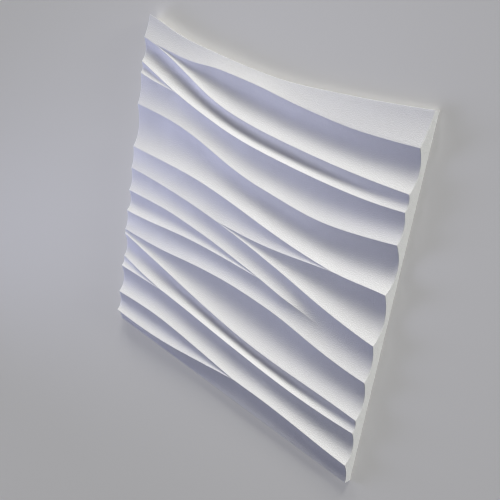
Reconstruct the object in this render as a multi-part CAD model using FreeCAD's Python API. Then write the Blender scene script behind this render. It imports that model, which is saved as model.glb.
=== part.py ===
"""Relief wall panel tile: one cast plaster tile with a pattern of wind-blown dunes.

The tile lies on its flat back. X runs across the tile, Y runs up it as it hangs on a wall, and Z is its
thickness. The origin is on the back, under the middle of the tile. Sharp crest lines run from side to
side at one height. Some of them fork or run together, one starts a little lower, and one sinks into the
hollow beside it. Between each pair of crest lines lies a hollow with a parabola as its section. All sizes
are in mm.
"""
import FreeCAD, Part
import math
import os
from FreeCAD import Vector

# The tile
TILE_WIDTH = 500.0
TILE_HEIGHT = 500.0
CREST_HEIGHT = 20.0             # from the back to the crest lines
BOTTOM_EDGE_THICKNESS = 9.5
TOP_EDGE_THICKNESS_LEFT = 14.0
TOP_EDGE_THICKNESS_MIDDLE = 15.5
TOP_EDGE_THICKNESS_RIGHT = 8.5
TOP_EDGE_SAG = 24.2             # how far the top edge dips between its two corners
TOP_SIDE_LEAN_DEGREES = 18.0    # how far the top side leans in under its front edge
LOW_START_DROP = 3.0            # how much lower the crest "lower groove" starts at the left edge
LOW_START_LENGTH = 55.0         # from there to where it is at full height
SINK_START = 34.0               # from its fork to where the crest "sinking" starts to sink
SINK_LENGTH = 85.0              # from there to where it has gone

# A hollow's lowest line, as a share of the way from its upper crest to its lower one
LOW_LINE = 0.55

# Each smooth line is a cubic spline with this many equal spans across the tile
SPANS = 40
DEGREE = 3

# Each hollow is this many strips side by side, which makes its facets long and few. The two hollows with
# the longest and sharpest tips have fewer.
STRIP_COUNT = 5
SHARP_TIP_STRIP_COUNT = 2

# Crest lines, from the top of the tile down. Each point is a place across the tile and a height above its
# lower edge, both in hundredths of the tile's sides.
CREST_POINTS = {
    "top": [(2, 92.7), (10, 92.2), (15, 91.8), (20, 91.6), (25, 91.7), (30, 92.1), (40, 92.1), (50, 91.7),
            (60, 90.9), (70, 90.4), (80, 90.2), (90, 90.7), (100, 91.6)],
    "sweep": [(0, 93.4), (5, 92.5), (10, 91.2), (20, 87.9), (30, 84.4), (40, 82.2), (50, 81.1), (65, 80.4),
              (80, 80.2), (100, 80.85)],
    "groove": [(0, 86.4), (10, 83.4), (20, 80.7), (30, 78.6), (40, 76.9), (50, 75.9), (60, 75.4), (75, 75.1),
               (90, 75.5), (100, 76.5)],
    "groove fork": [(0, 83.0), (5, 82.3), (10, 81.9), (18, 81.3)],
    "upper swell": [(0, 73.6), (10, 73.4), (20, 72.7), (30, 71.0), (40, 68.7), (50, 66.9), (60, 66.0),
                    (75, 65.2), (88, 66.4), (100, 68.4)],
    "middle": [(0, 60.3), (20, 60.3), (30, 60.0), (40, 59.1), (50, 57.8), (60, 56.4), (70, 55.3), (80, 54.6),
               (85, 54.5), (90, 54.8), (100, 55.6)],
    "bridge": [(38, 51.25), (45, 51.2), (55, 51.35), (65, 52.1), (75, 53.35), (87, 54.75)],
    "long fall": [(0, 53.4), (15, 53.1), (30, 52.2), (40, 51.2), (50, 49.9), (60, 48.3), (70, 46.5),
                  (80, 44.5), (90, 42.9), (100, 41.8)],
    "sinking": [(0, 46.0), (10, 46.25), (20, 46.3), (30, 45.7), (40, 44.8), (50, 43.5), (60, 42.1),
                (70, 40.4), (76, 39.7)],
    "sinking fork": [(0, 39.2), (10, 39.7), (20, 40.65), (30, 41.5), (40, 41.9), (50, 42.0), (62, 42.1)],
    "lower swell": [(0, 32.7), (10, 32.9), (20, 33.4), (30, 34.4), (40, 35.2), (50, 35.55), (60, 35.3),
                    (70, 34.6), (80, 33.1), (90, 31.9), (100, 31.4)],
    "lower sweep": [(0, 31.3), (10, 29.5), (20, 27.8), (30, 26.0), (40, 24.3), (50, 22.8), (60, 21.7),
                    (70, 21.1), (85, 20.8), (100, 20.3)],
    "lower groove": [(0, 23.3), (10, 21.85), (20, 20.5), (30, 19.7), (40, 18.8), (50, 17.9), (60, 17.1),
                     (70, 16.4), (80, 16.0), (90, 16.0), (100, 16.4)],
    "lower fork": [(0, 19.9), (10, 20.1), (15, 20.2), (22, 20.35)],
    "bottom": [(0, 10.4), (10, 11.0), (20, 11.15), (30, 10.6), (40, 9.7), (50, 8.7), (57, 8.1), (65, 8.05),
               (72, 7.9), (80, 7.5), (90, 6.85), (100, 6.4)],
    "bottom fork": [(0, 3.5), (10, 3.4), (20, 3.7), (30, 4.55), (40, 5.8), (50, 7.15), (59, 8.3)],
}

# The top edge's dip, as shares of its full sag, at places in hundredths of the width
TOP_EDGE_POINTS = [(0, 0.0), (5, 0.175), (10, 0.40), (17, 0.635), (25, 0.775), (35, 0.895), (50, 1.0),
                   (60, 0.945), (70, 0.755), (80, 0.54), (90, 0.29), (100, 0.0)]

# How deep each hollow is, as a share of the width between its two crests, at places in hundredths of the
# tile's width. It is level near a place where the hollow runs out between its crests.
DEPTH_SHARES = {
    "top": [(0, 0.185), (100, 0.185)],
    "groove": [(0, 0.15), (20, 0.22), (45, 0.31), (65, 0.31), (100, 0.17)],
    "groove fork": [(0, 0.16), (100, 0.16)],
    "upper swell": [(0, 0.07), (30, 0.12), (60, 0.16), (100, 0.145)],
    "middle": [(0, 0.10), (30, 0.14), (60, 0.19), (100, 0.21)],
    "bridge": [(0, 0.07), (30, 0.11), (60, 0.13), (100, 0.13)],
    "long fall": [(0, 0.17), (100, 0.17)],
    "sinking": [(0, 0.10), (40, 0.14), (100, 0.15)],
    "sinking fork": [(0, 0.17), (100, 0.17)],
    "lower swell": [(0, 0.09), (40, 0.14), (100, 0.14)],
    "lower sweep": [(0, 0.16), (40, 0.155), (100, 0.155)],
    "lower groove": [(0, 0.15), (20, 0.19), (50, 0.30), (75, 0.30), (100, 0.16)],
    "lower fork": [(0, 0.16), (100, 0.16)],
    "bottom": [(0, 0.155), (50, 0.17), (100, 0.18)],
    "bottom fork": [(0, 0.16), (100, 0.16)],
}
MERGED_DEPTH_SHARE = 0.135      # the hollow that the sinking crest ends in

# The far side of the tile in the units of the points above, and the places of the lines' control points
WHOLE = TOP_EDGE_POINTS[-1][0]
KNOTS = [WHOLE * number / SPANS for number in range(SPANS + 1)]
KNOT_COUNTS = [DEGREE + 1] + [1] * (SPANS - 1) + [DEGREE + 1]
ALL_KNOTS = [KNOTS[0]] * DEGREE + KNOTS + [KNOTS[-1]] * DEGREE
PLACES = [sum(ALL_KNOTS[first + 1:first + 1 + DEGREE]) / DEGREE for first in range(SPANS + DEGREE)]


def x_at(place):
    return (place / WHOLE - 0.5) * TILE_WIDTH


def y_at(height):
    return (height / WHOLE - 0.5) * TILE_HEIGHT


def between(first, second, share):
    """The point that is this share of the way from the first one to the second."""
    return first + (second - first) * share


def eased(share):
    """Share of the way from 0 to 1, with a gentle start and end."""
    share = min(max(share, 0.0), 1.0)
    return share * share * (3.0 - 2.0 * share)


def smooth_through(points):
    """The smooth curve through (place, value) points, which runs on straight past its ends."""
    curve = Part.BSplineCurve()
    curve.interpolate(Points=[Vector(place, value, 0) for place, value in points],
                      Parameters=[place for place, value in points])
    first, last = points[0][0], points[-1][0]

    def value_at(place):
        near = min(max(place, first), last)
        slope = curve.tangent(near)[0]
        return curve.value(near).y + (place - near) * slope.y / slope.x
    return value_at


def straight_through(points):
    """Straight runs from one (place, value) point to the next."""
    def value_at(place):
        for (left, low), (right, high) in zip(points, points[1:]):
            if place <= right:
                return low + (high - low) * (place - left) / (right - left)
        return points[-1][1]
    return value_at


class Line:
    """A line that crosses the tile, by its control points, and the stretch of it that the tile uses."""

    def __init__(self, poles):
        self.poles = poles
        self.start, self.end = 0.0, WHOLE
        self.forks = []

    def curve(self):
        spline = Part.BSplineCurve()
        spline.buildFromPolesMultsKnots(self.poles, KNOT_COUNTS, KNOTS, False, DEGREE)
        return spline

    def stretch(self, start, end):
        spline = self.curve()
        spline.segment(start, end)
        return spline.toShape()

    def on_back(self, lean=0.0):
        """The line on the back below this one, moved in by this much for each mm of height."""
        return Line([Vector(pole.x, pole.y - lean * pole.z, 0) for pole in self.poles])


def fork(lines, name, other_name, at_start=False):
    """The place where a crest line meets another one, which is noted as a fork of both.

    It lies between the line's last two points, or its first two.
    """
    points = CREST_POINTS[name][:2] if at_start else CREST_POINTS[name][-2:]
    (start, height), (end, height) = points
    line, other = lines[name], lines[other_name]
    curve, other_curve = line.curve(), other.curve()

    def gap(place):
        return curve.value(place).y - other_curve.value(place).y
    rising = gap(end) > gap(start)
    middle = (start + end) / 2
    while start < middle < end:
        if (gap(middle) > 0) == rising:
            end = middle
        else:
            start = middle
        middle = (start + end) / 2
    line.forks.append(start)
    other.forks.append(start)
    return start


def crest_line(name):
    height_at = smooth_through(CREST_POINTS[name])
    return Line([Vector(x_at(place), y_at(height_at(place)), CREST_HEIGHT) for place in PLACES])


def present(lines, place):
    """The first of these lines that the tile uses at this place."""
    return next(line for line in lines if line.start <= place <= line.end)


# A parabola's middle control point, as a share of the way down from its upper crest
MIDDLE_SHARE = 2 * LOW_LINE - 0.5


def hollow_middle(upper, lower, depth_share):
    """The middle control point of a parabola that hangs between two crest points."""
    width = upper.y - lower.y
    middle = between(upper, lower, MIDDLE_SHARE)
    middle.z = (upper.z + lower.z) / 2 - 2 * depth_share * width
    return middle


class Hollow:
    """A hollow between crest lines: the lines above it and below it, and its row of middle points."""

    def __init__(self, uppers, lowers, depth_points=None, start=0.0, end=WHOLE, strips=STRIP_COUNT):
        self.uppers, self.lowers = uppers, lowers
        self.start, self.end = start, end
        self.strip_shares = [number / strips for number in range(strips + 1)]
        if depth_points:
            depth_share = straight_through(depth_points)
            self.middles = [hollow_middle(upper, lower, depth_share(place))
                            for upper, lower, place in self.pairs()]

    def pairs(self):
        for number, place in enumerate(PLACES):
            inside = min(max(place, self.start), self.end)
            upper = present(self.uppers, inside).poles[number]
            lower = present(self.lowers, inside).poles[number]
            yield upper, lower, place

    def stretches(self):
        """The parts between forks, each with the one upper and the one lower line that bound it."""
        forks = [fork for line in self.uppers + self.lowers for fork in line.forks]
        inner = sorted({fork for fork in forks if self.start < fork < self.end})
        breaks = [self.start] + inner + [self.end]
        for start, end in zip(breaks, breaks[1:]):
            middle = (start + end) / 2
            yield start, end, present(self.uppers, middle), present(self.lowers, middle)

    def faces(self):
        made = []
        for start, end, upper, lower in self.stretches():
            rows = [lower.poles, self.middles, upper.poles]
            for low, high in zip(self.strip_shares, self.strip_shares[1:]):
                surface = Part.BSplineSurface()
                surface.buildFromPolesMultsKnots(rows, [3, 3], KNOT_COUNTS, [0.0, 1.0], KNOTS, False, False,
                                                 2, DEGREE)
                surface.segment(low, high, start, end)
                made.append(surface.toShape())
        return made

    def end_edges(self, right):
        """The hollow's section where the tile's left or right side cuts it, strip by strip."""
        number, place = (-1, WHOLE) if right else (0, 0.0)
        edges = []
        for low, high in zip(self.strip_shares, self.strip_shares[1:]):
            section = Part.BezierCurve()
            section.setPoles([present(self.lowers, place).poles[number], self.middles[number],
                              present(self.uppers, place).poles[number]])
            section.segment(low, high)
            edges.append(section.toShape())
        return edges


def flat_face(edges):
    return Part.Face(Part.Wire(Part.__sortEdges__(edges)))


def edge_middles(hollow, edge):
    """The middle points of half a hollow, which is level where the tile's edge cuts it."""
    middles = [between(upper, lower, 0.5) for upper, lower, place in hollow.pairs()]
    for middle, pole in zip(middles, edge.poles):
        middle.z = pole.z
    return middles


def sink(crest, fork_place, above, below):
    """Lower a crest past its fork until the hollows beside it are the two halves of one wide hollow."""
    for number, place in enumerate(PLACES):
        past_fork = x_at(place) - x_at(fork_place)
        sunk = eased((past_fork - SINK_START) / SINK_LENGTH)
        upper, lower = above.uppers[0].poles[number], below.lowers[0].poles[number]
        wide_middle = hollow_middle(upper, lower, MERGED_DEPTH_SHARE)
        upper_half = between(upper, wide_middle, 0.5)
        lower_half = between(wide_middle, lower, 0.5)
        floor = between(upper_half, lower_half, 0.5)
        above.middles[number] = between(above.middles[number], upper_half, sunk)
        below.middles[number] = between(below.middles[number], lower_half, sunk)
        crest.poles[number] = between(crest.poles[number], floor, sunk)


def make_tile():
    # The two edges that the relief runs out to
    sag_share = smooth_through(TOP_EDGE_POINTS)
    thickness = smooth_through([(0, TOP_EDGE_THICKNESS_LEFT), (WHOLE / 2, TOP_EDGE_THICKNESS_MIDDLE),
                                (WHOLE, TOP_EDGE_THICKNESS_RIGHT)])
    top_edge = Line([Vector(x_at(place), y_at(WHOLE) - TOP_EDGE_SAG * sag_share(place), thickness(place))
                     for place in PLACES])
    bottom_edge = Line([Vector(x_at(place), y_at(0), BOTTOM_EDGE_THICKNESS) for place in PLACES])

    line = {name: crest_line(name) for name in CREST_POINTS}

    # One crest starts lower at the left edge
    for pole in line["lower groove"].poles:
        pole.z -= LOW_START_DROP * (1 - eased((pole.x - x_at(0)) / LOW_START_LENGTH))

    # Where crest lines fork or run together
    line["top"].start = fork(line, "top", "sweep", at_start=True)
    line["groove fork"].end = fork(line, "groove fork", "groove")
    line["bridge"].start = fork(line, "bridge", "long fall", at_start=True)
    line["bridge"].end = fork(line, "bridge", "middle")
    line["sinking fork"].end = fork(line, "sinking fork", "sinking")
    line["lower fork"].end = fork(line, "lower fork", "lower groove")
    line["bottom fork"].end = fork(line, "bottom fork", "bottom")

    depth = DEPTH_SHARES
    top = Hollow([top_edge], [line["top"], line["sweep"]])
    top.middles = edge_middles(top, top_edge)
    lowest = Hollow([line["bottom fork"], line["bottom"]], [bottom_edge])
    lowest.middles = edge_middles(lowest, bottom_edge)

    above_sinking = Hollow([line["long fall"]], [line["sinking"]], depth["sinking"])
    below_sinking = Hollow([line["sinking fork"], line["sinking"]], [line["lower swell"]],
                           depth["lower swell"])
    sink(line["sinking"], line["sinking fork"].end, above_sinking, below_sinking)

    hollows = [
        top,
        Hollow([line["top"]], [line["sweep"]], depth["top"], start=line["top"].start),
        Hollow([line["sweep"]], [line["groove"]], depth["groove"]),
        Hollow([line["groove"]], [line["groove fork"]], depth["groove fork"], end=line["groove fork"].end),
        Hollow([line["groove fork"], line["groove"]], [line["upper swell"]], depth["upper swell"]),
        Hollow([line["upper swell"]], [line["middle"]], depth["middle"]),
        Hollow([line["middle"]], [line["bridge"], line["long fall"]], depth["bridge"],
               end=line["bridge"].end),
        Hollow([line["bridge"], line["middle"]], [line["long fall"]], depth["long fall"],
               start=line["bridge"].start, strips=SHARP_TIP_STRIP_COUNT),
        above_sinking,
        Hollow([line["sinking"]], [line["sinking fork"]], depth["sinking fork"],
               end=line["sinking fork"].end, strips=SHARP_TIP_STRIP_COUNT),
        below_sinking,
        Hollow([line["lower swell"]], [line["lower sweep"]], depth["lower sweep"]),
        Hollow([line["lower sweep"]], [line["lower groove"]], depth["lower groove"]),
        Hollow([line["lower groove"]], [line["lower fork"]], depth["lower fork"], end=line["lower fork"].end),
        Hollow([line["lower fork"], line["lower groove"]], [line["bottom"]], depth["bottom"]),
        Hollow([line["bottom"]], [line["bottom fork"]], depth["bottom fork"], end=line["bottom fork"].end),
        lowest,
    ]
    faces = [face for hollow in hollows for face in hollow.faces()]

    # The top side follows the top edge's curve down to the back, and leans in under it
    bottom_back = bottom_edge.on_back()
    top_back = top_edge.on_back(math.tan(math.radians(TOP_SIDE_LEAN_DEGREES)))
    back_edges = []
    for start, end, upper, lower in top.stretches():
        back_edges.append(top_back.stretch(start, end))
        faces.append(Part.makeRuledSurface(top_edge.stretch(start, end), back_edges[-1]))

    # The left and right sides are bounded by the sections of the hollows that reach them
    bottom_edges = [bottom_edge.stretch(start, end) for start, end, upper, lower in lowest.stretches()]
    for right in (False, True):
        reaching = [hollow for hollow in hollows if (hollow.end == WHOLE if right else hollow.start == 0)]
        sections = [edge for hollow in reaching for edge in hollow.end_edges(right)]
        number = -1 if right else 0
        corners = [bottom_edge.poles[number], bottom_back.poles[number], top_back.poles[number],
                   top_edge.poles[number]]
        runs = [Part.makeLine(first, second) for first, second in zip(corners, corners[1:])]
        faces.append(flat_face(sections + runs))
        bottom_edges.append(runs[0])
        back_edges.append(runs[1])

    # The bottom side and the back
    foot = Part.makeLine(bottom_back.poles[0], bottom_back.poles[-1])
    faces.append(flat_face(bottom_edges + [foot]))
    faces.append(flat_face(back_edges + [foot]))

    skin = Part.makeCompound(faces)
    skin.sewShape()
    solid = Part.Solid(skin.Shells[0])
    if solid.Volume < 0:
        solid.reverse()
    return solid


tile = make_tile()
box = tile.optimalBoundingBox()
print("tile valid", tile.isValid(), "closed", tile.isClosed(), "faces", len(tile.Faces))
print("volume cm3", round(tile.Volume / 1000, 1), "box", round(box.XLength, 2), round(box.YLength, 2),
      round(box.ZLength, 2))
os.makedirs("parts", exist_ok=True)
tile.exportStep("parts/relief_tile.step")
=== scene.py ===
"""Looks for the relief wall panel tile: a cast white plaster tile with a pattern of dune crests.

The tile is one piece. It is built here as a fine mesh on the same crest lines as the solid, with worn crests
and softened rims, and it replaces the solid. Its top edge is a little thinner and lower in the middle, and
its top side leans in by an angle that varies. All sizes are in metres unless a comment says otherwise.
"""

import bpy
import numpy as np
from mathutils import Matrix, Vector


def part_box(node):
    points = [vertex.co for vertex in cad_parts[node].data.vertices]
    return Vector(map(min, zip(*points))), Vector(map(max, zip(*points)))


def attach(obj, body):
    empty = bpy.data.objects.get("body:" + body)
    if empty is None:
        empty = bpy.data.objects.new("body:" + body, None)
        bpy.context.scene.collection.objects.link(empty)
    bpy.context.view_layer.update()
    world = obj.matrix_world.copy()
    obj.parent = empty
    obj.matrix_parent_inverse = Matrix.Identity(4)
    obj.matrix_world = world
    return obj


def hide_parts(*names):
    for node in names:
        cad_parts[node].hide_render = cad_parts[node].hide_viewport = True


MM = 0.001
NODE = "relief_tile"

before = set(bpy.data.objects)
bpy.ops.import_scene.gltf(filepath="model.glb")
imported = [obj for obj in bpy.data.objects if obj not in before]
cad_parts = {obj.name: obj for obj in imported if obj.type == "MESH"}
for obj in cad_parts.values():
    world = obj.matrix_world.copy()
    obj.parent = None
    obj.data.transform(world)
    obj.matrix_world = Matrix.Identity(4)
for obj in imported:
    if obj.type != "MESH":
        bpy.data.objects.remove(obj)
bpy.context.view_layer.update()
lowest_corner, highest_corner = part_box(NODE)
TILE_WIDTH = highest_corner.x - lowest_corner.x
TILE_HEIGHT = highest_corner.y - lowest_corner.y
CREST_HEIGHT = highest_corner.z

# Sizes of the relief. They are the solid's, apart from the top edge's middle thickness and its sag
BOTTOM_EDGE_THICKNESS = 9.5 * MM
TOP_EDGE_THICKNESS_LEFT = 14.0 * MM
TOP_EDGE_THICKNESS_MIDDLE = 12.0 * MM
TOP_EDGE_THICKNESS_RIGHT = 8.5 * MM
TOP_EDGE_SAG = 25.1 * MM
# The crest "lower groove" starts lower at the left edge, and has its full height after this length
LOW_START_DROP = 3.0 * MM
LOW_START_LENGTH = 55.0 * MM
# The crest "sinking" starts to sink this far past its fork, and is down after this length
SINK_START = 34.0 * MM
SINK_LENGTH = 85.0 * MM
# A hollow's lowest line, as a share of the way from its upper crest to its lower one
LOW_LINE = 0.55
# How deep the hollow is that the sinking crest ends in, as a share of its width
MERGED_DEPTH_SHARE = 0.135
# How much of its rise the top band's middle control line has already made, at places across the tile
TOP_BAND_RISES = [(0, 0.0), (30, 0.35), (75, 0.35), (100, 0.15)]
# How far the top side leans in under its edge, in degrees, at places across the tile
TOP_SIDE_LEANS = [(0, 26.0), (8, 29.5), (16, 25.0), (30, 20.0), (60, 14.0), (100, 9.5)]

# How far each side of its line a crest is rounded, but never by more than this share of a hollow's width
CREST_ROUNDING = 0.6 * MM
CREST_ROUNDING_SHARE = 0.22
# The radius of the tile's outer edges, and the turns of it that have points, in degrees
RIM_RADIUS = 0.35 * MM
FRONT_RIM_TURNS = (30, 60, 90)
BACK_RIM_TURNS = (0, 30, 60, 90)
# The flat sides and back have their first points this many rim radii from the edges, which keeps the
# shading of the rims off them
FLAT_START = 2.0
# How polished the plaster is on top of a crest, and on the shoulders of its rounding
# The same shares paint the colour a little lighter there: a painted highlight along the crests
CREST_POLISH_AND_PAINTED_HIGHLIGHT = 1.0
SHOULDER_POLISH_AND_PAINTED_HIGHLIGHT = 0.6

# The mesh's spacing along and across the crests
COLUMN_SPACING = 2.0 * MM
ROW_SPACING = 2.4 * MM
FEWEST_ROWS = 5
# Top and shoulder: the points that a crest's rounding adds at each end of a hollow's column
ROUNDING_POINTS = 2
# A hollow narrower than this has run out between its crests
NO_WIDTH = 1e-6
# Places less than this apart are the same
SAME_PLACE = 1e-9
# The right edge counts as this much short of the end, as a share, so that it lies in the last span
JUST_INSIDE = 1e-12
# A bend of more than this many degrees looks sharp
SHARP_ANGLE = 40
# A face that looks down more than this belongs to the back
BACK_FACING = -0.9

# Crest lines, as the solid has them: places across the tile and heights above its lower edge, both in
# hundredths of the tile's sides
CREST_POINTS = {
    "top": [(2, 92.7), (10, 92.2), (15, 91.8), (20, 91.6), (25, 91.7), (30, 92.1), (40, 92.1), (50, 91.7),
            (60, 90.9), (70, 90.4), (80, 90.2), (90, 90.7), (100, 91.6)],
    "sweep": [(0, 93.4), (5, 92.5), (10, 91.2), (20, 87.9), (30, 84.4), (40, 82.2), (50, 81.1), (65, 80.4),
              (80, 80.2), (100, 80.85)],
    "groove": [(0, 86.4), (10, 83.4), (20, 80.7), (30, 78.6), (40, 76.9), (50, 75.9), (60, 75.4), (75, 75.1),
               (90, 75.5), (100, 76.5)],
    "groove fork": [(0, 83.0), (5, 82.3), (10, 81.9), (18, 81.3)],
    "upper swell": [(0, 73.6), (10, 73.4), (20, 72.7), (30, 71.0), (40, 68.7), (50, 66.9), (60, 66.0),
                    (75, 65.2), (88, 66.4), (100, 68.4)],
    "middle": [(0, 60.3), (20, 60.3), (30, 60.0), (40, 59.1), (50, 57.8), (60, 56.4), (70, 55.3), (80, 54.6),
               (85, 54.5), (90, 54.8), (100, 55.6)],
    "bridge": [(38, 51.25), (45, 51.2), (55, 51.35), (65, 52.1), (75, 53.35), (87, 54.75)],
    "long fall": [(0, 53.4), (15, 53.1), (30, 52.2), (40, 51.2), (50, 49.9), (60, 48.3), (70, 46.5),
                  (80, 44.5), (90, 42.9), (100, 41.8)],
    "sinking": [(0, 46.0), (10, 46.25), (20, 46.3), (30, 45.7), (40, 44.8), (50, 43.5), (60, 42.1),
                (70, 40.4), (76, 39.7)],
    "sinking fork": [(0, 39.2), (10, 39.7), (20, 40.65), (30, 41.5), (40, 41.9), (50, 42.0), (62, 42.1)],
    "lower swell": [(0, 32.7), (10, 32.9), (20, 33.4), (30, 34.4), (40, 35.2), (50, 35.55), (60, 35.3),
                    (70, 34.6), (80, 33.1), (90, 31.9), (100, 31.4)],
    "lower sweep": [(0, 31.3), (10, 29.5), (20, 27.8), (30, 26.0), (40, 24.3), (50, 22.8), (60, 21.7),
                    (70, 21.1), (85, 20.8), (100, 20.3)],
    "lower groove": [(0, 23.3), (10, 21.85), (20, 20.5), (30, 19.7), (40, 18.8), (50, 17.9), (60, 17.1),
                     (70, 16.4), (80, 16.0), (90, 16.0), (100, 16.4)],
    "lower fork": [(0, 19.9), (10, 20.1), (15, 20.2), (22, 20.35)],
    "bottom": [(0, 10.4), (10, 11.0), (20, 11.15), (30, 10.6), (40, 9.7), (50, 8.7), (57, 8.1), (65, 8.05),
               (72, 7.9), (80, 7.5), (90, 6.85), (100, 6.4)],
    "bottom fork": [(0, 3.5), (10, 3.4), (20, 3.7), (30, 4.55), (40, 5.8), (50, 7.15), (59, 8.3)],
}
# How far the top edge dips at places across the tile, as a share of its sag
TOP_EDGE_POINTS = [(0, 0.0), (5, 0.175), (10, 0.40), (17, 0.635), (25, 0.775), (35, 0.895), (50, 1.0),
                   (60, 0.945), (70, 0.755), (80, 0.54), (90, 0.29), (100, 0.0)]
# How deep each hollow is, as a share of the width between its crests, at places across the tile
DEPTH_SHARES = {
    "top": [(0, 0.185), (100, 0.185)],
    "groove": [(0, 0.15), (20, 0.22), (45, 0.31), (65, 0.31), (100, 0.17)],
    "groove fork": [(0, 0.16), (100, 0.16)],
    "upper swell": [(0, 0.07), (30, 0.12), (60, 0.16), (100, 0.145)],
    "middle": [(0, 0.10), (30, 0.14), (60, 0.19), (100, 0.21)],
    "bridge": [(0, 0.07), (30, 0.11), (60, 0.13), (100, 0.13)],
    "long fall": [(0, 0.17), (100, 0.17)],
    "sinking": [(0, 0.10), (40, 0.14), (100, 0.15)],
    "sinking fork": [(0, 0.17), (100, 0.17)],
    "lower swell": [(0, 0.09), (40, 0.14), (100, 0.14)],
    "lower sweep": [(0, 0.16), (40, 0.155), (100, 0.155)],
    "lower groove": [(0, 0.15), (20, 0.19), (50, 0.30), (75, 0.30), (100, 0.16)],
    "lower fork": [(0, 0.16), (100, 0.16)],
    "bottom": [(0, 0.155), (50, 0.17), (100, 0.18)],
    "bottom fork": [(0, 0.16), (100, 0.16)],
}
WHOLE = TOP_EDGE_POINTS[-1][0]

# Each line is a cubic spline with this many equal spans, whose control points lie at PLACES
SPANS = 40
DEGREE = 3
KNOTS = [0.0] * DEGREE + [WHOLE * number / SPANS for number in range(SPANS + 1)] + [float(WHOLE)] * DEGREE
PLACES = np.array([sum(KNOTS[first + 1:first + 1 + DEGREE]) / DEGREE for first in range(SPANS + DEGREE)])


def spline_weights(places):
    """How much each control point counts at each of these places."""
    knots = np.array(KNOTS)
    inside = np.clip(places, 0.0, WHOLE * (1 - JUST_INSIDE))[:, None]
    weights = ((inside >= knots[:-1]) & (inside < knots[1:])).astype(float)
    for degree in range(1, DEGREE + 1):
        left, right = knots[:-degree - 1], knots[degree + 1:]
        rise, fall = knots[degree:-1] - left, right - knots[1:-degree]
        rising = np.where(rise > 0, (inside - left) / np.where(rise > 0, rise, 1), 0) * weights[:, :-1]
        falling = np.where(fall > 0, (right - inside) / np.where(fall > 0, fall, 1), 0) * weights[:, 1:]
        weights = rising + falling
    return weights


def smooth_through(points):
    """The smooth curve through (place, value) points, which runs on straight past its ends."""
    places, values = np.array(points, float).T
    steps = np.diff(places)
    rates = np.diff(values) / steps
    near = min(DEGREE + 1, len(points))
    matrix, target = np.eye(len(points)), np.zeros(len(points))
    for end, group in ((0, slice(None, near)), (-1, slice(-near, None))):
        near_curve = np.polyfit(places[group] - places[end], values[group], near - 1)
        target[end] = near_curve[-2]
    for row in range(1, len(points) - 1):
        before, after = steps[row - 1], steps[row]
        matrix[row, row - 1:row + 2] = after, 2 * (before + after), before
        target[row] = 3 * (after * rates[row - 1] + before * rates[row])
    slopes = np.linalg.solve(matrix, target)

    def values_at(wanted):
        near_place = np.clip(wanted, places[0], places[-1])
        span = np.clip(np.searchsorted(places, near_place, side="right") - 1, 0, len(steps) - 1)
        step = steps[span]
        share = (near_place - places[span]) / step
        value = ((1 + 2 * share) * (1 - share) ** 2 * values[span]
                 + share * (1 - share) ** 2 * step * slopes[span]
                 + share ** 2 * (3 - 2 * share) * values[span + 1]
                 - share ** 2 * (1 - share) * step * slopes[span + 1])
        slope = np.where(wanted < places[0], slopes[0], slopes[-1])
        return value + (wanted - near_place) * slope
    return values_at


def straight_through(points):
    """The straight lines through (place, value) points."""
    places, values = np.array(points, float).T
    return lambda wanted: np.interp(wanted, places, values)


def x_at(place):
    """The x of a place across the tile."""
    return (place / WHOLE - 0.5) * TILE_WIDTH


def place_at(x):
    """The place across the tile of an x."""
    return (x / TILE_WIDTH + 0.5) * WHOLE


def y_at(height):
    """The y of a height above the tile's lower edge."""
    return (height / WHOLE - 0.5) * TILE_HEIGHT


def eased(share):
    """The share, made to start and end gently."""
    share = np.clip(share, 0.0, 1.0)
    return share * share * (3.0 - 2.0 * share)


class Line:
    """A line across the tile: the y and z of its control points, and the stretch that the tile uses."""

    def __init__(self, name, y, z):
        self.name = name
        self.poles = np.stack([y, z * np.ones_like(y)], axis=1)
        self.start, self.end = 0.0, float(WHOLE)


def present(lines, place):
    """The one of these lines that the tile uses at this place."""
    return next(line for line in lines if line.start <= place <= line.end)


def fork(lines, name, other_name, at_start=False):
    """The place where a crest line meets another one, between its last two points or its first two."""
    points = CREST_POINTS[name][:2] if at_start else CREST_POINTS[name][-2:]
    start, end = float(points[0][0]), float(points[1][0])
    apart = lines[name].poles[:, 0] - lines[other_name].poles[:, 0]

    def gap(place):
        return float(spline_weights(np.array([place]))[0] @ apart)
    rising = gap(end) > gap(start)
    middle = (start + end) / 2
    while start < middle < end:
        if (gap(middle) > 0) == rising:
            end = middle
        else:
            start = middle
        middle = (start + end) / 2
    return start


def hollow_middles(upper, lower, depth_share):
    """The middle control points of parabolas that hang between two crest lines."""
    width = upper[:, 0] - lower[:, 0]
    middles = upper + (lower - upper) * (2 * LOW_LINE - 0.5)
    middles[:, 1] = (upper[:, 1] + lower[:, 1]) / 2 - 2 * depth_share * width
    return middles


class Hollow:
    """A hollow between crest lines, as in the solid."""

    def __init__(self, uppers, lowers, depth_points=None, start=0.0, end=float(WHOLE)):
        self.uppers, self.lowers = uppers, lowers
        self.start, self.end = start, end
        inside = np.clip(PLACES, start, end)
        self.upper_poles, self.lower_poles = (
            np.array([present(lines, place).poles[number] for number, place in enumerate(inside)])
            for lines in (uppers, lowers))
        if depth_points:
            depth_shares = straight_through(depth_points)(PLACES)
            self.middles = hollow_middles(self.upper_poles, self.lower_poles, depth_shares)
        else:
            self.middles = (self.upper_poles + self.lower_poles) / 2


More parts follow.
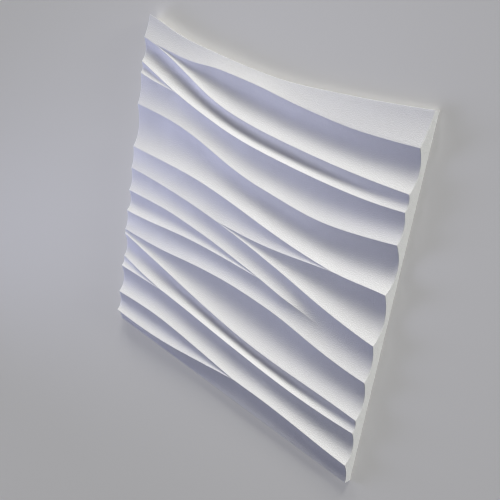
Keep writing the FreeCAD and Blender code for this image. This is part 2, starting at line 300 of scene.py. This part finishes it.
def relief_hollows():
    """The hollows from the top of the tile down, and the forks of their crests.

    The top and bottom edges are moved in by the rim's radius.
    """
    thickness = smooth_through([(0, TOP_EDGE_THICKNESS_LEFT), (WHOLE / 2, TOP_EDGE_THICKNESS_MIDDLE),
                                (WHOLE, TOP_EDGE_THICKNESS_RIGHT)])
    sag = smooth_through(TOP_EDGE_POINTS)
    ones = np.ones(len(PLACES))
    top_edge = Line("top edge", y_at(WHOLE) - TOP_EDGE_SAG * sag(PLACES) - RIM_RADIUS, thickness(PLACES))
    bottom_edge = Line("bottom edge", (y_at(0) + RIM_RADIUS) * ones, BOTTOM_EDGE_THICKNESS * ones)
    line = {name: Line(name, y_at(smooth_through(points)(PLACES)), CREST_HEIGHT * ones)
            for name, points in CREST_POINTS.items()}
    past_edge = x_at(PLACES) - x_at(0)
    line["lower groove"].poles[:, 1] -= LOW_START_DROP * (1 - eased(past_edge / LOW_START_LENGTH))

    line["top"].start = fork(line, "top", "sweep", at_start=True)
    line["groove fork"].end = fork(line, "groove fork", "groove")
    line["bridge"].start = fork(line, "bridge", "long fall", at_start=True)
    line["bridge"].end = fork(line, "bridge", "middle")
    line["sinking fork"].end = fork(line, "sinking fork", "sinking")
    line["lower fork"].end = fork(line, "lower fork", "lower groove")
    line["bottom fork"].end = fork(line, "bottom fork", "bottom")
    forks = [("top", "sweep", line["top"].start), ("groove fork", "groove", line["groove fork"].end),
             ("bridge", "long fall", line["bridge"].start), ("bridge", "middle", line["bridge"].end),
             ("sinking fork", "sinking", line["sinking fork"].end),
             ("lower fork", "lower groove", line["lower fork"].end),
             ("bottom fork", "bottom", line["bottom fork"].end)]

    depth = DEPTH_SHARES
    top = Hollow([top_edge], [line["top"], line["sweep"]])
    rise = CREST_HEIGHT - top_edge.poles[:, 1]
    top.middles[:, 1] = top_edge.poles[:, 1] + rise * straight_through(TOP_BAND_RISES)(PLACES)
    bottom = Hollow([line["bottom fork"], line["bottom"]], [bottom_edge])
    bottom.middles[:, 1] = bottom_edge.poles[:, 1]
    above = Hollow([line["long fall"]], [line["sinking"]], depth["sinking"])
    below = Hollow([line["sinking fork"], line["sinking"]], [line["lower swell"]], depth["lower swell"])

    # The sinking crest goes down until the hollows beside it are the two halves of one wide hollow
    past_fork = x_at(PLACES) - x_at(line["sinking fork"].end)
    sunk = eased((past_fork - SINK_START) / SINK_LENGTH)[:, None]
    wide_middles = hollow_middles(above.upper_poles, below.lower_poles, MERGED_DEPTH_SHARE)
    upper_half = (above.upper_poles + wide_middles) / 2
    lower_half = (wide_middles + below.lower_poles) / 2
    above.middles += (upper_half - above.middles) * sunk
    below.middles += (lower_half - below.middles) * sunk
    line["sinking"].poles += ((upper_half + lower_half) / 2 - line["sinking"].poles) * sunk

    hollows = [
        top,
        Hollow([line["top"]], [line["sweep"]], depth["top"], start=line["top"].start),
        Hollow([line["sweep"]], [line["groove"]], depth["groove"]),
        Hollow([line["groove"]], [line["groove fork"]], depth["groove fork"], end=line["groove fork"].end),
        Hollow([line["groove fork"], line["groove"]], [line["upper swell"]], depth["upper swell"]),
        Hollow([line["upper swell"]], [line["middle"]], depth["middle"]),
        Hollow([line["middle"]], [line["bridge"], line["long fall"]], depth["bridge"],
               end=line["bridge"].end),
        Hollow([line["bridge"], line["middle"]], [line["long fall"]], depth["long fall"],
               start=line["bridge"].start),
        above,
        Hollow([line["sinking"]], [line["sinking fork"]], depth["sinking fork"],
               end=line["sinking fork"].end),
        below,
        Hollow([line["lower swell"]], [line["lower sweep"]], depth["lower sweep"]),
        Hollow([line["lower sweep"]], [line["lower groove"]], depth["lower groove"]),
        Hollow([line["lower groove"]], [line["lower fork"]], depth["lower fork"],
               end=line["lower fork"].end),
        Hollow([line["lower fork"], line["lower groove"]], [line["bottom"]], depth["bottom"]),
        Hollow([line["bottom"]], [line["bottom fork"]], depth["bottom fork"],
               end=line["bottom fork"].end),
        bottom,
    ]
    return hollows, forks


def column_places(forks):
    """Places of the mesh's columns: evenly spaced between the side rims, with one at each fork."""
    margin = RIM_RADIUS / TILE_WIDTH * WHOLE
    count = round(TILE_WIDTH / COLUMN_SPACING)
    places = np.linspace(margin, WHOLE - margin, count + 1)
    for _, _, place in forks:
        places[np.argmin(abs(places - place))] = place
    return places


class ReliefMesh:
    """Builds the tile's mesh: the relief column by column, then its rims, sides and back."""

    def __init__(self):
        self.hollows, self.forks = relief_hollows()
        self.places = column_places(self.forks)
        self.weights = spline_weights(self.places)
        self.x = x_at(self.places)
        self.points = []
        self.polish_and_painted_highlight = []
        self.faces = []
        self.crest_ids = {}
        self.same_crest = {}
        for name, other, place in self.forks:
            column = int(np.argmin(abs(self.places - place)))
            self.same_crest[name, column] = (other, column)

    def add_point(self, x, y, z, polish_and_painted_highlight=0.0):
        """Adds a point and gives its number."""
        self.points.append((x, y, z))
        self.polish_and_painted_highlight.append(polish_and_painted_highlight)
        return len(self.points) - 1

    def columns_of(self, hollow):
        """The columns that cross the hollow."""
        started = self.places >= hollow.start - SAME_PLACE
        return np.nonzero(started & (self.places <= hollow.end + SAME_PLACE))[0]

    def section(self, hollow, column):
        """The three control points of the hollow's parabola at one column, as (y, z)."""
        place = self.places[column]
        inside = min(max(place, hollow.start), hollow.end)
        weights = self.weights[column]
        return (weights @ present(hollow.lowers, inside).poles, weights @ hollow.middles,
                weights @ present(hollow.uppers, inside).poles)

    def measure(self):
        """Where each hollow starts to round over into the crests beside it, at each column."""
        self.sections = {}
        self.crest_feet = {}
        for number, hollow in enumerate(self.hollows):
            for column in self.columns_of(hollow):
                lower, middle, upper = self.section(hollow, column)
                width = upper[0] - lower[0]
                if width < NO_WIDTH:
                    continue
                rounding = min(CREST_ROUNDING, CREST_ROUNDING_SHARE * width)
                low, high = 0.0, 1.0
                if number < len(self.hollows) - 1:
                    low = rounding / (2 * (middle[0] - lower[0]))
                if number > 0:
                    high = 1 - rounding / (2 * (upper[0] - middle[0]))
                self.sections[number, column] = (lower, middle, upper, low, high)
                if low > 0:
                    key = self.crest_key_of(hollow.lowers, hollow, column)
                    foot = on_parabola(lower, middle, upper, low)
                    self.crest_feet.setdefault(key, [None, None, lower])[0] = foot
                if high < 1:
                    key = self.crest_key_of(hollow.uppers, hollow, column)
                    foot = on_parabola(lower, middle, upper, high)
                    self.crest_feet.setdefault(key, [None, None, upper])[1] = foot

    def crest_key_of(self, lines, hollow, column):
        """The name and column of the crest that the hollow has at this column."""
        inside = min(max(self.places[column], hollow.start), hollow.end)
        key = (present(lines, inside).name, column)
        return self.same_crest.get(key, key)

    def crest_id(self, lines, hollow, column):
        """The point on top of a crest, made once and shared by the hollows beside it."""
        key = self.crest_key_of(lines, hollow, column)
        if key not in self.crest_ids:
            y, z = self.on_rounding(key, share=0.5)
            self.crest_ids[key] = self.add_point(self.x[column], y, z, CREST_POLISH_AND_PAINTED_HIGHLIGHT)
        return self.crest_ids[key]

    def on_rounding(self, key, share):
        """A point on a crest's rounding, between its feet in the hollows above and below."""
        above, below, crest = self.crest_feet[key]
        return on_parabola(above, crest, below, share)

    def shoulder_id(self, lines, hollow, column, share):
        """A new point between a crest's top and one of its feet."""
        y, z = self.on_rounding(self.crest_key_of(lines, hollow, column), share)
        return self.add_point(self.x[column], y, z, SHOULDER_POLISH_AND_PAINTED_HIGHLIGHT)

    def column_rows(self, number, hollow, column, rows):
        """The point ids of one column of a hollow, from its lower crest to its upper one."""
        if (number, column) not in self.sections:
            crest = self.crest_id(hollow.lowers, hollow, column)
            return [crest] * (rows + 1 + 2 * ROUNDING_POINTS)
        lower, middle, upper, low, high = self.sections[number, column]
        ids = []
        if low > 0:
            ids.append(self.crest_id(hollow.lowers, hollow, column))
            ids.append(self.shoulder_id(hollow.lowers, hollow, column, share=0.25))
        for share in np.linspace(low, high, rows + 1):
            y, z = on_parabola(lower, middle, upper, share)
            ids.append(self.add_point(self.x[column], y, z))
        if high < 1:
            ids.append(self.shoulder_id(hollow.uppers, hollow, column, share=0.75))
            ids.append(self.crest_id(hollow.uppers, hollow, column))
        return ids

    def relief(self):
        """Every hollow's patch, and the four borders of the relief, each in order."""
        self.measure()
        left, right = [], []
        for number, hollow in reversed(list(enumerate(self.hollows))):
            columns = self.columns_of(hollow)
            widths = [self.sections[number, column][2][0] - self.sections[number, column][0][0]
                      for column in columns if (number, column) in self.sections]
            rows = max(FEWEST_ROWS, round(float(np.mean(widths)) / ROW_SPACING))
            patch = [self.column_rows(number, hollow, column, rows) for column in columns]
            for first, second in zip(patch, patch[1:]):
                for corners in zip(first, second, second[1:], first[1:]):
                    self.add_face(corners)
            if hollow.start == 0:
                left += [point for point in patch[0] if not left or point != left[-1]]
            if hollow.end == WHOLE:
                right += [point for point in patch[-1] if not right or point != right[-1]]
            if number == len(self.hollows) - 1:
                bottom = [column[0] for column in patch]
            if number == 0:
                top = [column[-1] for column in patch]
        return left, right, bottom, top

    def add_face(self, corners):
        """Adds a face, without the corners that are the same as their neighbour."""
        kept = [corner for number, corner in enumerate(corners) if corner != corners[number - 1]]
        if len(kept) > 2:
            self.faces.append(kept)

    def sides_and_back(self, left, right, bottom, top):
        """Rings of points round the tile, from the relief's border over the rims to the back."""
        border = bottom + right[1:] + top[-2::-1] + left[-2:0:-1]
        outward = self.outward(border, left, right, bottom, top)
        start = np.array([self.points[point] for point in border])
        lean = np.tan(np.radians(straight_through(TOP_SIDE_LEANS)(place_at(start[:, 0]))))
        corners = np.array([self.points[point] for point in (top[0], top[-1])])
        corner = corners[(start[:, 0] > 0).astype(int)]
        back_height = np.zeros(len(border))
        # Each ring has its reach outwards, in rim radii, and its heights
        rings = [(np.sin(turn), start[:, 2] - RIM_RADIUS * (1 - np.cos(turn)))
                 for turn in np.radians(FRONT_RIM_TURNS)]
        rings.append((1.0, start[:, 2] - FLAT_START * RIM_RADIUS))
        rings.append((1.0, back_height + FLAT_START * RIM_RADIUS))
        rings += [(np.cos(turn), back_height + RIM_RADIUS * (1 - np.sin(turn)))
                  for turn in np.radians(BACK_RIM_TURNS)]
        rings.append((-FLAT_START, back_height))
        previous = border
        for reach, height in rings:
            x, y = (start[:, :2] + outward * RIM_RADIUS * reach).T
            leaned = np.where(outward[:, 1] > 0, y - lean * (start[:, 2] - height), y)
            # The left and right sides end where the leaning top side cuts them off
            cut_off = corner[:, 1] + RIM_RADIUS * reach - lean * (corner[:, 2] - height)
            y = np.minimum(leaned, cut_off)
            ring = [self.add_point(*point) for point in zip(x, y, height)]
            for number in range(len(ring)):
                self.add_face((previous[number - 1], ring[number - 1], ring[number], previous[number]))
            previous = ring
        self.faces.append(previous[::-1])

    def outward(self, border, left, right, bottom, top):
        """The direction away from the tile at each point of its border, with mitred corners."""
        directions = {point: np.zeros(2) for point in border}
        for side, axis, sign in ((left, 0, -1), (right, 0, 1), (bottom, 1, -1), (top, 1, 1)):
            for point in side:
                directions[point][axis] = sign
        return np.array([directions[point] for point in border])


def on_parabola(lower, middle, upper, share):
    """A point of the parabola with these control points."""
    return (1 - share) ** 2 * lower + 2 * share * (1 - share) * middle + share ** 2 * upper


def build_tile():
    """The tile as a mesh, with its crest polish and painted crest highlight kept in a point attribute."""
    relief = ReliefMesh()
    relief.sides_and_back(*relief.relief())
    mesh = bpy.data.meshes.new("plaster_tile")
    mesh.from_pydata(relief.points, [], relief.faces)
    mesh.validate()
    mesh.shade_smooth()
    mesh.set_sharp_from_angle(angle=np.radians(SHARP_ANGLE))
    attribute = mesh.attributes.new("polish_and_painted_highlight", "FLOAT", "POINT")
    attribute.data.foreach_set("value", np.array(relief.polish_and_painted_highlight, np.float32))
    tile = bpy.data.objects.new("plaster_tile", mesh)
    bpy.context.scene.collection.objects.link(tile)
    return tile


# Colours as the surfaces have them
PLASTER_COLOR = (0.83, 0.83, 0.84)
BACK_COLOR = (0.70, 0.70, 0.69)
FLOOR_COLOR = (0.81, 0.80, 0.78)
# What the camera and reflections see of the floor is mixed with this even grey by this share
EVEN_FLOOR_COLOR = (0.42, 0.42, 0.43)
EVEN_FLOOR_SHARE = 0.5
FLOOR_SIZE = 40.0
# The world's faint light, and what the camera and reflections see in its place
ROOM_COLOR = (0.80, 0.80, 0.90)
ROOM_STRENGTH = 0.02
BACKDROP_COLOR = (0.40, 0.40, 0.41)

# The plaster's grain: the size of its features, and how deep it is on the face
GRAIN_SIZE = 1.5 * MM
GRAIN_DEPTH = 0.42 * MM
# The back's streaks are this share as fine along the tile's width as they are across it
STREAK_SQUEEZE = 0.06
# A pinhole is deepest within this share of its radius, and this share of the pinholes are shallower
PIT_FLOOR_SHARE = 0.4
SHALLOW_PIT_SHARE = 0.5
# Nearly all noise lies between these
NOISE_LOW = 0.3
NOISE_HIGH = 0.7

# The camera stands where the photograph's did, in the tile's own frame, so its picture is rolled. Its turn
# is in degrees, and its lens and sensor are in millimetres
CAMERA_PLACE = (0.73948, 0.43921, 0.78644)
CAMERA_TURN = (-14.4517, 45.976, 12.327)
CAMERA_LENS = 60.72
CAMERA_SENSOR = 36.0

# The width of the renderer's pixel filter, in pixels: a narrow one keeps the crests crisp
PIXEL_FILTER_WIDTH = 1.0


def add_camera():
    """The camera at the photograph's viewing angle."""
    data = bpy.data.cameras.new("camera")
    data.lens = CAMERA_LENS
    data.sensor_width = CAMERA_SENSOR
    camera = bpy.data.objects.new("camera", data)
    camera.location = CAMERA_PLACE
    camera.rotation_euler = [np.radians(angle) for angle in CAMERA_TURN]
    bpy.context.scene.collection.objects.link(camera)
    bpy.context.scene.camera = camera


def direction(azimuth, elevation):
    """The unit vector towards this azimuth, counted from +X to +Y, and elevation, both in degrees."""
    turn, rise = np.radians(azimuth), np.radians(elevation)
    return Vector((np.cos(turn) * np.cos(rise), np.sin(turn) * np.cos(rise), np.sin(rise)))


def add_light(name, kind, energy, color, towards, distance=1.0, target=Vector()):
    """A lamp in this direction from its target, which it shines on: the tile's middle or another point."""
    data = bpy.data.lights.new(name, kind)
    data.energy = energy
    data.color = color
    light = bpy.data.objects.new(name, data)
    light.location = target + towards * distance
    light.rotation_euler = towards.to_track_quat("Z", "Y").to_euler()
    light.visible_camera = False
    bpy.context.scene.collection.objects.link(light)
    return data


def add_sun(name, azimuth, elevation, strength, color, spread):
    """A far lamp that looks this many degrees wide."""
    sun = add_light(name, "SUN", strength, color, direction(azimuth, elevation))
    sun.angle = np.radians(spread)


def add_disk(name, azimuth, elevation, power, color, distance, size):
    """A round lamp over the tile's middle."""
    disk = add_light(name, "AREA", power, color, direction(azimuth, elevation), distance)
    disk.shape = "DISK"
    disk.size = size


def add_spot(name, azimuth, elevation, power, color, distance, size, cone, target):
    """A soft-edged lamp that lights the part of the tile round its target."""
    spot = add_light(name, "SPOT", power, color, direction(azimuth, elevation), distance, target)
    spot.shadow_soft_size = size / 2
    spot.spot_size = np.radians(cone)
    spot.spot_blend = 1.0


def add_node(owner, kind, inputs=None, **settings):
    """A new shader node in a material or the world. Each input is a value, or the socket that feeds it."""
    node = owner.node_tree.nodes.new(kind)
    for name, value in settings.items():
        setattr(node, name, value)
    for name, value in (inputs or {}).items():
        feed(owner, node.inputs[name], value)
    return node


def feed(owner, socket, value):
    """Sets the socket to the value, or links it where the value is a socket."""
    if isinstance(value, bpy.types.NodeSocket):
        owner.node_tree.links.new(value, socket)
    else:
        socket.default_value = value


def maths(owner, operation, first, second):
    """The result of this operation on two numbers."""
    return add_node(owner, "ShaderNodeMath", {0: first, 1: second}, operation=operation).outputs["Value"]


def mix(owner, share, first, second):
    """The first shader, mixed with this share of the second."""
    return add_node(owner, "ShaderNodeMixShader", {0: share, 1: first, 2: second}).outputs["Shader"]


def new_material(name, color, roughness):
    """A material with nodes, and its shader."""
    material = bpy.data.materials.new(name)
    material.use_nodes = True
    shader = material.node_tree.nodes["Principled BSDF"]
    feed(material, shader.inputs["Base Color"], (*color, 1.0))
    feed(material, shader.inputs["Roughness"], roughness)
    return material, shader


def tile_places(material):
    """Where each point lies on the tile, for patterns that stay in place on it."""
    return add_node(material, "ShaderNodeTexCoord").outputs["Object"]


def noise(material, places, size, detail=2.0, roughness=0.5):
    """Noise from 0 to 1 with features of about this size."""
    texture = add_node(material, "ShaderNodeTexNoise",
                       {"Vector": places, "Scale": 1 / size, "Detail": detail, "Roughness": roughness})
    return texture.outputs["Fac"]


def spread(material, value, low, high, lowest, highest):
    """The value's range from low to high, stretched to lowest to highest."""
    return add_node(material, "ShaderNodeMapRange",
                    {"Value": value, "From Min": low, "From Max": high, "To Min": lowest, "To Max": highest}
                    ).outputs["Result"]


def varied(material, value, lowest, highest):
    """Noise, stretched so that nearly all of it fills the range from lowest to highest."""
    return spread(material, value, NOISE_LOW, NOISE_HIGH, lowest, highest)


def faded(material, share, none, full):
    """A value that goes from none to full as the share goes from 0 to 1."""
    return spread(material, share, 0.0, 1.0, none, full)


def product(material, *values):
    """The values, multiplied."""
    result = values[0]
    for value in values[1:]:
        result = maths(material, "MULTIPLY", result, value)
    return result


def bump(material, height, depth, below=None):
    """The surface's normal with this height on it, over the bumps below."""
    inputs = {"Height": height, "Distance": depth, "Strength": 1.0}
    if below is not None:
        inputs["Normal"] = below
    return add_node(material, "ShaderNodeBump", inputs).outputs["Normal"]


def pinholes(material, places, spacing, radius, share):
    """Sparse pits left by air bubbles: 1 in the middle of a pit, and 0 from its edge on."""
    cells = add_node(material, "ShaderNodeTexVoronoi", {"Vector": places, "Scale": 1 / spacing})
    picked = add_node(material, "ShaderNodeSeparateColor", {"Color": cells.outputs["Color"]}).outputs["Red"]
    edge = radius / spacing
    pit = spread(material, cells.outputs["Distance"], edge, PIT_FLOOR_SHARE * radius / spacing, 0.0, 1.0)
    depth = spread(material, picked, 1 - share, 1.0 - SHALLOW_PIT_SHARE * share, 0.0, 1.0)
    return product(material, pit, depth)


def tinted(material, color, tone):
    """The colour times the tone."""
    scaled = add_node(material, "ShaderNodeVectorMath", {0: color, "Scale": tone}, operation="SCALE")
    return scaled.outputs["Vector"]


def cast_plaster():
    """The moulded face: matt white, faint clouds, fine grain, pinholes in painted shade, polished crests
    with a painted highlight.
    """
    material, shader = new_material("cast plaster", PLASTER_COLOR, roughness=0.6)
    places = tile_places(material)
    clouds = noise(material, places, size=90 * MM, detail=3.0)
    mottle = noise(material, places, size=7 * MM, detail=4.0, roughness=0.6)
    grain = noise(material, places, GRAIN_SIZE, detail=2.0, roughness=0.6)
    pits = pinholes(material, places, spacing=4 * MM, radius=0.35 * MM, share=0.06)
    # How polished each point is, which also sets how much painted highlight its colour gets
    polish_and_painted_highlight = add_node(material, "ShaderNodeAttribute", attribute_name="polish_and_painted_highlight").outputs["Fac"]

    tone = product(material,
                   varied(material, clouds, lowest=0.985, highest=1.01),
                   varied(material, mottle, lowest=0.99, highest=1.01),
                   spread(material, grain, low=0.2, high=0.8, lowest=0.985, highest=1.015),
                   # Painted shade: the pinholes are painted up to a fifth darker
                   faded(material, pits, none=1.0, full=0.8),
                   # Painted highlight: the crests are painted up to 3% lighter where they are polished
                   faded(material, polish_and_painted_highlight, none=1.0, full=1.03))
    feed(material, shader.inputs["Base Color"], tinted(material, PLASTER_COLOR, tone))

    patches = noise(material, places, size=25 * MM, detail=3.0)
    rough = varied(material, patches, lowest=0.56, highest=0.66)
    polish = faded(material, polish_and_painted_highlight, none=0.0, full=0.1)
    feed(material, shader.inputs["Roughness"], maths(material, "SUBTRACT", rough, polish))

    surface = bump(material, noise(material, places, size=12 * MM), depth=0.08 * MM)
    surface = bump(material, grain, GRAIN_DEPTH, below=surface)
    surface = bump(material, faded(material, pits, none=1.0, full=0.0), depth=0.25 * MM, below=surface)
    feed(material, shader.inputs["Normal"], surface)
    return material


def open_back():
    """The back, which lay open in the mould: drawn off flat with a board, so it is streaked and coarser."""
    material, shader = new_material("open cast back", BACK_COLOR, roughness=0.8)
    places = tile_places(material)
    long_ways = add_node(material, "ShaderNodeVectorMath", {0: places, 1: (STREAK_SQUEEZE, 1.0, 1.0)},
                         operation="MULTIPLY").outputs["Vector"]
    streaks = noise(material, long_ways, size=2.5 * MM, detail=4.0, roughness=0.65)
    grain = noise(material, places, GRAIN_SIZE, detail=4.0, roughness=0.7)
    clouds = noise(material, places, size=60 * MM, detail=3.0)
    pits = pinholes(material, places, spacing=7 * MM, radius=1.1 * MM, share=0.25)

    tone = product(material,
                   varied(material, clouds, lowest=0.95, highest=1.0),
                   varied(material, streaks, lowest=0.97, highest=1.02),
                   # Painted shade: the pinholes are painted up to a quarter darker
                   faded(material, pits, none=1.0, full=0.75))
    feed(material, shader.inputs["Base Color"], tinted(material, BACK_COLOR, tone))

    surface = bump(material, streaks, depth=0.25 * MM)
    surface = bump(material, grain, depth=0.12 * MM, below=surface)
    surface = bump(material, faded(material, pits, none=1.0, full=0.0), depth=0.6 * MM, below=surface)
    feed(material, shader.inputs["Normal"], surface)
    return material


def shown_part(owner):
    """1 for what the camera, a reflection or a clear thing shows, and 0 for what lights the scene."""
    ray = add_node(owner, "ShaderNodeLightPath").outputs
    seen = maths(owner, "MAXIMUM", ray["Is Camera Ray"], ray["Is Glossy Ray"])
    return maths(owner, "MAXIMUM", seen, ray["Is Transmission Ray"])


def pale_floor():
    """It lights the tile as a pale floor does, and is shown with softer shadows than it has."""
    material, shader = new_material("pale floor", FLOOR_COLOR, roughness=0.7)
    even = add_node(material, "ShaderNodeEmission", {"Color": (*EVEN_FLOOR_COLOR, 1.0)})
    share = maths(material, "MULTIPLY", shown_part(material), EVEN_FLOOR_SHARE)
    feed(material, material.node_tree.nodes["Material Output"].inputs["Surface"],
         mix(material, share, shader.outputs["BSDF"], even.outputs["Emission"]))
    return material


def add_floor():
    """A wide floor under the tile, which isn't part of it."""
    mesh = bpy.data.meshes.new("floor")
    half = FLOOR_SIZE / 2
    corners = [(-half, -half, 0), (half, -half, 0), (half, half, 0), (-half, half, 0)]
    mesh.from_pydata(corners, [], [(0, 1, 2, 3)])
    floor = bpy.data.objects.new("floor", mesh)
    floor.data.materials.append(pale_floor())
    bpy.context.scene.collection.objects.link(floor)


def add_world():
    """A little light from all round, and a pale background that gives none."""
    world = bpy.data.worlds.new("studio")
    world.use_nodes = True
    room = world.node_tree.nodes["Background"]
    feed(world, room.inputs["Color"], (*ROOM_COLOR, 1.0))
    feed(world, room.inputs["Strength"], ROOM_STRENGTH)
    backdrop = add_node(world, "ShaderNodeBackground", {"Color": (*BACKDROP_COLOR, 1.0)})
    feed(world, world.node_tree.nodes["World Output"].inputs["Surface"],
         mix(world, shown_part(world), room.outputs["Background"], backdrop.outputs["Background"]))
    bpy.context.scene.world = world


def add_lights():
    """Raking light from over the top edge, a bluish fill from the left, and some from the right side."""
    add_sun("key light", azimuth=80, elevation=17, strength=1.8, color=(1.0, 0.985, 0.91), spread=14)
    add_sun("fill light", azimuth=200, elevation=14, strength=1.3, color=(0.69, 0.72, 1.0), spread=30)
    add_spot("low fill", azimuth=209, elevation=16, power=44, color=(0.66, 0.69, 1.0), distance=1.6,
             size=0.5, cone=34, target=Vector((-0.02, 0.1, 0)))
    add_sun("side light", azimuth=25, elevation=6, strength=1.25, color=(0.98, 1.0, 0.96), spread=8)
    add_sun("top light", azimuth=104, elevation=14, strength=0.8, color=(1.0, 0.99, 0.96), spread=15)
    add_disk("light above", azimuth=90, elevation=70, power=0.42, color=(0.86, 0.86, 1.0), distance=0.55,
             size=0.2)


tile = build_tile()
tile.data.materials.append(cast_plaster())
tile.data.materials.append(open_back())
for face in tile.data.polygons:
    face.material_index = 1 if face.normal.z < BACK_FACING else 0
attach(tile, "root")
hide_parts(NODE)

add_floor()
add_camera()
add_world()
add_lights()
bpy.context.scene.cycles.filter_width = PIXEL_FILTER_WIDTH
bpy.context.scene.view_settings.view_transform = "Standard"
